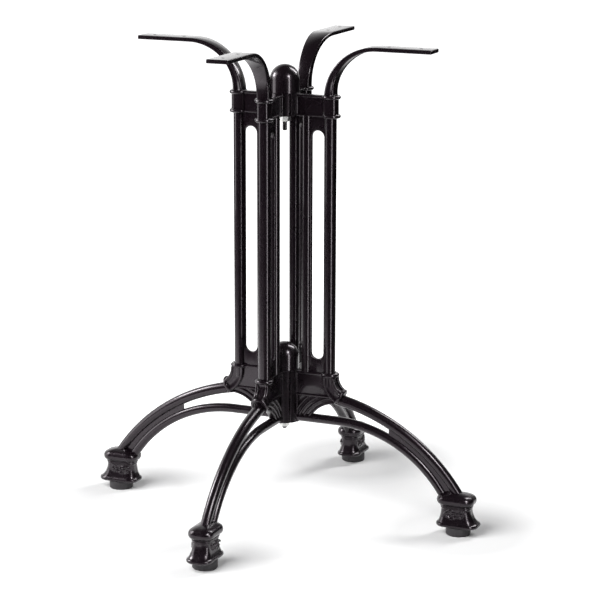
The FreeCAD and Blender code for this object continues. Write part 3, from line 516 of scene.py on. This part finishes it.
def build_foot():
    """The foot with the lobe and knuckles where the ribs land, and relief on its flat sides."""
    stations = []
    for height, half_x, half_y, lean in foot_profile():
        stations.append((stand(FOOT_PLACE - lean, height), half_x, half_y, half_y * 0.76))
    parts = [lofted(stations, steps=10)]
    parts.append(lump(stand(258.8, 57.0, 18.0), (8.4, 7.6, 8.4)))
    for index in range(4):
        for side in (-1, 1):
            knuckle = stand(255.5 + index * 4.6, 56.6 + index * 2.2, 62.0, side * 7.6)
            parts.append(lump(knuckle, (1.5, 2.6, 5.0)))
    for side, shift in ((-1, 0.0), (1, FAR_SIDE_SHIFT)):
        for x, z, size in FLOWERS:
            parts += flower(side, x + shift, z, size)
        for points in STEMS:
            parts += stem(side, [(x + shift, z) for x, z in points])
    return cast_together(parts, 0.58)


def arc_stations(centre, bend, first, last, start_radius, end_radius):
    """Stations of a round rib on an arc, angles in degrees from +X."""
    stations = []
    for index in range(RIB_STEPS + 1):
        share = index / RIB_STEPS
        angle = first + (last - first) * share
        x = centre[0] + bend * math.cos(math.radians(angle))
        z = centre[1] + bend * math.sin(math.radians(angle))
        radius = start_radius + (end_radius - start_radius) * share
        stations.append((stand(x, z, 180.0 - angle), radius, radius, radius))
    return stations


def point_on(centre, bend, angle):
    turn = math.radians(angle)
    return Vector((centre[0] + bend * math.cos(turn), 0.0, centre[1] + bend * math.sin(turn)))


def build_ribs():
    """The leg's two round ribs, and the thin wall that closes the gap between them at the foot."""
    upper = lofted(arc_stations(UPPER_RIB_CENTRE, UPPER_RIB_BEND, 80.2, 34.0, 8.8, 7.3))
    radius = LOWER_RIB_RADIUS
    stations = [(stand(x, 152.0, 90.0), radius, radius, radius) for x in (15.0, 50.0)]
    stations += arc_stations(LOWER_RIB_CENTRE, LOWER_RIB_BEND, 90.0, 33.0, radius, radius)
    lower = lofted(stations)
    wall = []
    for index in range(RIB_WALL_STEPS + 1):
        share = index / RIB_WALL_STEPS
        top = point_on(UPPER_RIB_CENTRE, UPPER_RIB_BEND, 63.0 - 29.0 * share)
        low = point_on(LOWER_RIB_CENTRE, LOWER_RIB_BEND, 65.3 - 32.3 * share)
        reach = top - low
        lean = math.degrees(math.atan2(reach.x, reach.z)) + 90.0
        middle = (top + low) * 0.5
        wall.append((stand(middle.x, middle.z, lean), reach.length * 0.5 - 2.0, 2.6, 0.8))
    return [upper, lower, lofted(wall, steps=2)]


def build_column():
    """Two tubes and the slotted wall between them."""
    outer = lofted([(stand(COLUMN_PLACE, z), 8.5, 9.7, 9.0)
                    for z in (205.0, 260.0, 420.0, 580.0, 640.0)], steps=12)
    radius = INNER_TUBE_RADIUS
    inner = lofted([(stand(INNER_TUBE_PLACE, z), radius, radius, radius)
                    for z in (222.5, 260.0, 420.0, 580.0, 614.0)], steps=12)
    wall = block(INNER_TUBE_PLACE, COLUMN_PLACE, -3.7, 3.7, 200.0, 638.0)
    stations = []
    for y in (-9.0, 9.0):
        place = Matrix.Translation((SLOT_MIDDLE[0], y, SLOT_MIDDLE[1]))
        place = place @ Matrix.Rotation(math.pi / 2, 4, "X")
        stations.append((place, SLOT_HALF_WIDTH, SLOT_HALF_HEIGHT, SLOT_HALF_WIDTH))
    slot = lofted(stations, steps=12)
    wall = with_modifiers(cut(wall, [slot]), ("BEVEL", {
        "width": 2.0, "segments": 4, "limit_method": "ANGLE", "angle_limit": math.radians(50.0)}))
    return [outer, inner, wall]


def build_hub(bottom, top):
    """A quarter of a hub with its fillets into the panel and grooves along its seams."""
    body = drum(Matrix(), HUB_RADIUS, bottom, top)
    for turn in (45.0, -45.0):
        angle = math.radians(turn)
        normal = Vector((math.sin(angle), -math.cos(angle), 0.0)) * math.copysign(1.0, turn)
        geometry = list(body.verts) + list(body.edges) + list(body.faces)
        made = bmesh.ops.bisect_plane(
            body, geom=geometry, plane_co=normal * 0.04, plane_no=normal, clear_inner=True)["geom_cut"]
        rim = [item for item in made if isinstance(item, bmesh.types.BMEdge)]
        bmesh.ops.holes_fill(body, edges=rim, sides=0)
    bmesh.ops.recalc_face_normals(body, faces=body.faces)
    seams = [e for e in body.edges
             if abs(e.verts[0].co.z - e.verts[1].co.z) > 5.0
             and HUB_RADIUS - 0.5 < e.verts[0].co.xy.length
             and abs(abs(e.verts[0].co.x) - abs(e.verts[0].co.y)) < 0.8]
    bmesh.ops.bevel(body, geom=seams, offset=SEAM_BEVEL, segments=5, profile=0.5, affect="EDGES",
                    material=-1)
    fillet = block(14.0, FILLET_PLACE[0], -7.0, 7.0, bottom + 0.02, top - 0.02)
    rounds = []
    for side in (-1, 1):
        place = Matrix.Translation((FILLET_PLACE[0], side * FILLET_PLACE[1], 0.0))
        rounds.append(drum(place, FILLET, bottom - 2.0, top + 2.0))
    return [body, cut(fillet, rounds)]


def ledge(level, outer):
    """A rounded ledge along both faces of a panel."""
    return lofted([(stand(x, level, 90.0), 2.2, 7.0, 2.2) for x in (21.0, outer)], steps=5)


def elbow_place(index, reach, y=0.0):
    """A place on an arc round the elbow, from the column's foot to the leg."""
    angle = -6.0 + 65.0 * index / ELBOW_STEPS
    turn = math.radians(angle)
    return stand(ELBOW[0] - reach * math.cos(turn), ELBOW[1] - reach * math.sin(turn), 180.0 - angle, y)


def build_shoulder():
    """Sweep with its two ridges, beads, panel, fan of arched ribs and lower hub."""
    sweep = []
    for index in range(ELBOW_STEPS + 1):
        half_y = 10.2 - 0.8 * math.sin(math.pi * index / ELBOW_STEPS)
        sweep.append((elbow_place(index, SWEEP_REACH), 9.0, half_y, 3.0, 1.2))
    parts = [lofted(sweep, steps=5, cuts=5)]
    for side in (-1, 1):
        ridge = [(elbow_place(index, RIDGE_REACH, side * RIDGE_SIDE), 2.8, 2.8, 2.8)
                 for index in range(ELBOW_STEPS + 1)]
        parts.append(lofted(ridge, steps=4))
    parts.append(ring(stand(*LEG_BEAD), 10.9, 3.1))
    parts.append(ring(stand(RING_PLACE, SHOULDER_RING), 11.1, BEAD_RADIUS))
    parts.append(drum(stand(RING_PLACE, 0.0), 11.6, SHOULDER_RING - 2.0, SHOULDER_RING + 2.0))
    parts.append(drum(stand(*LEG_BEAD), 11.4, -2.0, 2.0))
    parts.append(block(PANEL_START, PANEL_END, -5.0, 5.0, PANEL_LEDGE, SHOULDER_RING + 1.0))
    wall = block(PANEL_START, 92.0, -3.2, 3.2, 150.0, PANEL_LEDGE + 3.0)
    across = Matrix.Translation((ARCH[0], 0.0, ARCH[1])) @ Matrix.Rotation(math.pi / 2, 4, "X")
    parts.append(cut(wall, [drum(across, ARCH_RADIUS, -12.0, 12.0, 160)]))
    for index, end in enumerate(FAN_ENDS):
        radius = ARCH_RADIUS + FAN_FIRST + FAN_SPACING * index
        stations = []
        for step in range(FAN_STEPS + 1):
            angle = FAN_START + (end - FAN_START) * step / FAN_STEPS
            turn = math.radians(angle)
            x = ARCH[0] - radius * math.cos(turn)
            z = ARCH[1] + radius * math.sin(turn)
            stations.append((stand(x, z, angle), 2.0, 5.7, 1.9))
        parts.append(lofted(stations, steps=4))
    parts.append(ledge(PANEL_LEDGE, 90.0))
    parts.append(ledge(SHOULDER_RING, PANEL_END))
    parts += build_hub(*LOWER_HUB)
    return as_mesh(parts)


def build_band():
    """Band between the two upper beads, its panel and the upper hub."""
    band = [(stand(COLUMN_PLACE, z), 11.0, 9.8, 6.9) for z in (614.0, 628.0, 643.0)]
    parts = [lofted(band)]
    for level in (BAND_BOTTOM_RING, BAND_TOP_RING):
        parts.append(ring(stand(RING_PLACE, level), 11.05, BEAD_RADIUS))
        parts.append(drum(stand(RING_PLACE, 0.0), 11.4, level - 2.0, level + 2.0))
        parts.append(ledge(level, PANEL_END))
    parts.append(block(PANEL_START, PANEL_END, -5.0, 5.0, 612.4, 643.6))
    parts += build_hub(*UPPER_HUB)
    return as_mesh(parts)


def build_arm():
    """The arm: bent and widened from the band to its flat, fluted at its root, with two screw holes."""
    stations = [(stand(COLUMN_PLACE, 640.0), 8.0, 10.0, 3.6, 1.75)]
    for index in range(ARM_STEPS + 1):
        slope = 90.0 * index / ARM_STEPS
        turn = math.radians(slope)
        leaning = ARM_BEND_REACH * math.cos(turn)
        rising = ARM_BEND_RISE * math.sin(turn)
        reach = math.hypot(leaning, rising)
        x = ARM_BEND_CENTRE[0] - ARM_BEND_REACH * leaning / reach
        z = ARM_BEND_CENTRE[1] + ARM_BEND_RISE * rising / reach
        depth = 8.0 - 5.0 * math.sin(turn)
        width = 10.0 + 6.5 * (1.0 - math.cos(turn))
        dent = 0.05 + 1.9 * max(0.0, 1.0 - slope / 40.0)
        stations.append((stand(x, z, slope), depth, width, depth * 0.45, dent))
    # the flat's own stations lie close together at its end, so that its shading stays even
    for x, depth, width, corner in (
            (180.0, 3.0, 16.5, 1.35), (231.4, 3.0, 16.5, 1.35), (232.9, 3.0, 16.5, 1.35),
            (233.5, 2.7, 16.2, 1.1), (233.8, 2.2, 15.7, 0.8)):
        stations.append((stand(x, ARM_LEVEL, 90.0), depth, width, corner, 0.02))
    holes = [drum(stand(x, 700.0), SCREW_RADIUS, 0.0, 40.0, 48) for x in SCREW_PLACES]
    return cut(lofted(stations, steps=5, cuts=5), holes)


def build_casting():
    parts = [build_foot(), build_shoulder(), build_band(), build_arm()]
    parts += build_ribs()
    parts += build_column()
    return as_mesh(parts, "casting")


def finish_piece(name, data, material, slot, *nodes):
    """A finished mesh in metres, smooth except at sharp corners, that stands for its node."""
    data.name = name
    for polygon in data.polygons:
        polygon.use_smooth = True
    data.set_sharp_from_angle(angle=math.radians(35.0))
    data.transform(Matrix.Scale(MILLIMETRE, 4))
    data.materials.clear()
    data.materials.append(material)
    piece = bpy.data.objects.new(name, data)
    bpy.context.scene.collection.objects.link(piece)
    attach(piece, "root")
    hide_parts(*nodes)


def add_castings(material):
    casting = build_casting()
    for side, direction in DIRECTIONS:
        data = casting.copy()
        data.transform(Matrix.Rotation(math.radians(direction), 4, "Z"))
        finish_piece("casting_" + side, data, material, "enamel", "leg_" + side)
    bpy.data.meshes.remove(casting)


def extruded(mesh, rim, rise, share):
    """Extrudes a rim, lifts and scales the new loop, and returns its edges."""
    made = bmesh.ops.extrude_edge_only(mesh, edges=rim)["geom"]
    verts = [item for item in made if isinstance(item, bmesh.types.BMVert)]
    bmesh.ops.translate(mesh, verts=verts, vec=(0, 0, rise))
    bmesh.ops.scale(mesh, verts=verts, vec=(share, share, 1.0))
    return [item for item in made if isinstance(item, bmesh.types.BMEdge)]


def build_dome(seat):
    """A domed cap with a softened lower edge and a hollow under it."""
    mesh = bmesh.new()
    bmesh.ops.create_uvsphere(mesh, u_segments=96, v_segments=48, radius=DOME_RADIUS)
    geometry = list(mesh.verts) + list(mesh.edges) + list(mesh.faces)
    bmesh.ops.bisect_plane(mesh, geom=geometry, plane_co=(0, 0, 0), plane_no=(0, 0, -1), clear_outer=True)
    rim = [e for e in mesh.edges if e.is_boundary]
    for rise, share in ((-0.4, 1.0), (-18.3, 1.0), (-0.6, 1.0), (-0.5, 0.99), (-0.2, 0.97),
                        (0.0, 0.86), (18.0, 1.0)):
        rim = extruded(mesh, rim, rise, share)
    bmesh.ops.holes_fill(mesh, edges=rim, sides=0)
    bmesh.ops.recalc_face_normals(mesh, faces=mesh.faces)
    bmesh.ops.translate(mesh, verts=mesh.verts, vec=(0, 0, seat + DOME_SKIRT))
    return as_mesh([mesh])


def build_rod(low, high, threaded):
    """A steel rod with a real thread over its visible end."""
    core = turned(((0.0, low), (2.5, low), (3.0, low + 0.6), (3.05, high - 0.6), (2.6, high),
                   (0.0, high)), 40)
    thread = bmesh.new()
    verts = [bmesh.ops.create_vert(thread, co=(distance, 0.0, low + rise))["vert"][0]
             for distance, rise in ((2.7, 0.4), (3.6, 0.9), (3.6, 1.05), (2.7, 1.55))]
    edges = [thread.edges.new(pair) for pair in zip(verts, verts[1:] + verts[:1])]
    turns = int((threaded - 1.6) / THREAD_PITCH)
    bmesh.ops.spin(thread, geom=verts + edges, cent=(0, 0, 0), axis=(0, 0, 1), angle=math.tau * turns,
                   dvec=(0, 0, THREAD_PITCH / THREAD_STEPS), steps=turns * THREAD_STEPS)
    bmesh.ops.holes_fill(thread, edges=[e for e in thread.edges if e.is_boundary], sides=0)
    bmesh.ops.recalc_face_normals(thread, faces=thread.faces)
    return as_mesh([core, thread])


def build_nut(level):
    """A hexagon nut with chamfered corners and a countersunk bore."""
    top = level + NUT_HEIGHT
    body = drum(Matrix(), NUT_WIDTH / math.sqrt(3.0), level, top, 6)
    cone = turned(((0.0, level), (6.1, level), (7.7, level + 0.95), (7.7, level + 7.05),
                   (6.1, top), (0.0, top)))
    bore = turned(((0.0, level - 1.0), (4.6, level - 1.0), (3.7, level + 0.8), (3.7, level + 7.2),
                   (4.6, level + 9.0), (0.0, level + 9.0)), 48)
    return joined(joined(as_mesh([body]), cone, "INTERSECT"), bore, "DIFFERENCE")


def build_washer(level):
    """A flat washer with rolled edges."""
    top = level + WASHER_HEIGHT
    return as_mesh([turned((
        (3.75, level + 0.3), (4.0, level), (8.2, level), (8.5, level + 0.3), (8.5, level + 1.7),
        (8.2, top), (4.0, top), (3.75, level + 1.7), (3.75, level + 0.3)))])


def add_hub_parts(enamel, rod, zinc):
    """Dome, tie rod, nut and washer of both hubs; tail is how far a rod shows under its nut."""
    for name, (bottom, seat), tail in (("upper", UPPER_HUB, 13.5), ("lower", LOWER_HUB, 3.5)):
        finish_piece(name + "_dome", build_dome(seat), enamel, "cap_enamel", name + "_cap")
        washer_level = bottom - WASHER_HEIGHT
        nut_level = washer_level - NUT_HEIGHT
        rod_data = build_rod(nut_level - tail, seat + 37.0, tail + 3.0)
        finish_piece(name + "_rod", rod_data, rod, "rod_steel", name + "_tie_rod")
        finish_piece(name + "_hex_nut", build_nut(nut_level), zinc, "zinc_steel", name + "_nut")
        washer = build_washer(washer_level)
        finish_piece(name + "_flat_washer", washer, zinc, "zinc_steel", name + "_washer")


def build_glide():
    """A moulded pad with a soft lower edge and a shallow recess under it."""
    return as_mesh([turned((
        (0.0, 1.2), (12.5, 1.2), (13.2, 0.3), (14.0, 0.0), (16.6, 0.0), (17.7, 0.35), (18.35, 1.2),
        (18.5, 2.2), (18.5, 11.6), (18.3, 12.5), (17.7, 13.0), (17.0, 13.2), (0.0, 13.2)), 80)])


def add_glides(plastic):
    glide = build_glide()
    outward = Matrix.Translation((FOOT_PLACE, 0, 0))
    for side, direction in DIRECTIONS:
        data = glide.copy()
        data.transform(Matrix.Rotation(math.radians(direction), 4, "Z") @ outward)
        finish_piece("pad_" + side, data, plastic, "glide_plastic", side + "_glide")
    bpy.data.meshes.remove(glide)


def dress_hidden_steel(material):
    """The studs stay as the solids have them."""
    for side, _ in DIRECTIONS:
        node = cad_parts[side + "_glide_stud"]
        node.data.materials.clear()
        node.data.materials.append(material)


# Floor, backdrop and light, in metres to the right of the object, behind it and up
SIDE = (0.9187, 0.3949)
AWAY = (-0.3949, 0.9187)
WHITE = (1.0, 1.0, 1.0, 1.0)


def studio_place(side, away, height):
    return (side * SIDE[0] + away * AWAY[0], side * SIDE[1] + away * AWAY[1], height)


def side_and_away(x, y):
    """How far a place or a direction reaches to the right and away from the photograph's viewpoint."""
    return x * SIDE[0] + y * SIDE[1], x * AWAY[0] + y * AWAY[1]


def length_of(first, second):
    return (first * first + second * second).root()


def light_path(graph):
    outputs = graph.node("ShaderNodeLightPath").socket.node.outputs
    names = ("Is Camera Ray", "Is Glossy Ray", "Is Transmission Ray")
    return [Value(graph, outputs[name]) for name in names]


def add_floor():
    """A white floor that keeps soft shadows round the feet.

    Reflections see it end on the right and in front, where the studio is dark. A glow away from the
    feet covers the broad shadows that the photograph doesn't show.
    """
    mesh = bmesh.new()
    bmesh.ops.create_grid(mesh, x_segments=1, y_segments=1, size=20.0)
    data = bpy.data.meshes.new("floor")
    mesh.to_mesh(data)
    mesh.free()
    floor = bpy.data.objects.new("floor", data)
    bpy.context.scene.collection.objects.link(floor)
    material = bpy.data.materials.new("pale_floor")
    material.use_nodes = True
    graph = Graph(material.node_tree)
    seen, glossy, through = light_path(graph)
    x, y, _ = graph.split(graph.node("ShaderNodeTexCoord", output=3))
    side, away = side_and_away(x, y)
    near = ((1.9 - length_of(side, away - 0.3)) / 0.9).clamped()
    behind = ((away - side * 0.7 + 0.66) / 0.3).clamped()
    left = ((0.95 - side) / 0.5).clamped()
    lit = near * behind * left
    far = ((length_of(x, y) - 0.45) / 1.3).clamped()
    clear = 1.0
    for _, direction in DIRECTIONS:
        foot = Matrix.Rotation(math.radians(direction), 2) @ Vector((FOOT_PLACE * MILLIMETRE, 0.0))
        clear = ((length_of(x - foot.x, y - foot.y) - 0.09) / 0.18).clamped() * clear
    strength = (seen + glossy + through) * (clear * 0.44 + far * 0.6) + seen * clear * 0.2
    diffuse = graph.node("ShaderNodeBsdfDiffuse", {}, {"Color": (0.82, 0.82, 0.82, 1.0)})
    glow = graph.node("ShaderNodeEmission", {}, {"Color": WHITE, "Strength": strength})
    white = graph.node("ShaderNodeAddShader", {}, {0: diffuse, 1: glow})
    dark = graph.node("ShaderNodeBsdfDiffuse", {}, {"Color": (0.03, 0.03, 0.03, 1.0)})
    both = graph.node("ShaderNodeMixShader", {}, {0: glossy * (1.0 - lit * lit), 1: white, 2: dark})
    graph.node("ShaderNodeOutputMaterial", {}, {"Surface": both})
    data.materials.append(material)


def add_world():
    """White behind and to the left, a dark studio in front and to the right."""
    world = bpy.data.worlds.new("studio")
    bpy.context.scene.world = world
    world.use_nodes = True
    graph = Graph(world.node_tree)
    seen, glossy, through = light_path(graph)
    x, y, z = graph.split(graph.node("ShaderNodeTexCoord", output=0))
    side, away = side_and_away(x, y)
    backdrop = ((away - 0.55 * side - 0.15 - 0.5 * z) * 1.5).clamped()
    strength = (seen + through + glossy * (0.04 + 0.96 * backdrop)).clamped()
    shine = graph.node("ShaderNodeBackground", {}, {"Color": WHITE, "Strength": strength})
    dim = graph.node("ShaderNodeBackground", {}, {"Color": (0.95, 0.96, 1.0, 1.0), "Strength": 0.08})
    factor = (seen + glossy + through).clamped()
    both = graph.node("ShaderNodeMixShader", {}, {0: factor, 1: dim, 2: shine})
    graph.node("ShaderNodeOutputWorld", {}, {"Surface": both})


# Name, place in the studio, the height it is aimed at, width and height, watts and what it doesn't light
LAMPS = (
    ("left_soft_box", (-1.75, 0.0, 0.98), 0.5, (0.95, 1.85), 16.0, "diffuse"),
    ("right_back_soft_box", (1.02, 0.66, 1.55), 0.4, (0.35, 1.1), 16.0, ""),
    ("backdrop_panel", (-0.3, 2.6, 1.0), 0.5, (3.4, 1.5), 5.5, ""),
    ("front_left_key", (-1.38, -1.16, 1.36), 0.1, (2.1, 2.1), 94.0, "glossy"),
    ("left_head", (-1.49, 0.25, 1.19), 0.6, (0.50, 0.50), 17.0, "diffuse"),
    ("front_right_head", (0.82, -1.28, 1.30), 0.6, (0.38, 0.38), 10.0, "diffuse"),
    ("front_right_strip", (0.47, -0.67, 0.60), 0.60, (0.11, 1.2), 4.4, "diffuse"),
)


def add_light():
    for name, place, aim, size, power, hidden_from in LAMPS:
        data = bpy.data.lights.new(name, "AREA")
        data.shape = "RECTANGLE"
        data.size, data.size_y = size
        data.energy = power
        lamp = bpy.data.objects.new(name, data)
        bpy.context.scene.collection.objects.link(lamp)
        lamp.location = studio_place(*place)
        direction = Vector((0, 0, aim)) - Vector(studio_place(*place))
        lamp.rotation_euler = direction.to_track_quat("-Z", "Y").to_euler()
        lamp.visible_camera = False
        lamp.visible_diffuse = hidden_from != "diffuse"
        lamp.visible_glossy = hidden_from != "glossy"


add_camera()
ENAMEL = black_enamel()
PLASTIC = black_plastic()
ROD_STEEL = steel(
    "dark_rod_steel", (0.035, 0.034, 0.036, 1.0), (0.085, 0.082, 0.08, 1.0), 0.30, 0.42, 5200.0)
ZINC = steel(
    "bright_zinc_steel", (0.72, 0.72, 0.71, 1.0), (0.90, 0.90, 0.88, 1.0), 0.30, 0.44, 3600.0)
add_castings(ENAMEL)
add_hub_parts(ENAMEL, ROD_STEEL, ZINC)
add_glides(PLASTIC)
dress_hidden_steel(ZINC)
add_floor()
add_world()
add_light()
bpy.context.scene.view_settings.view_transform = "Standard"
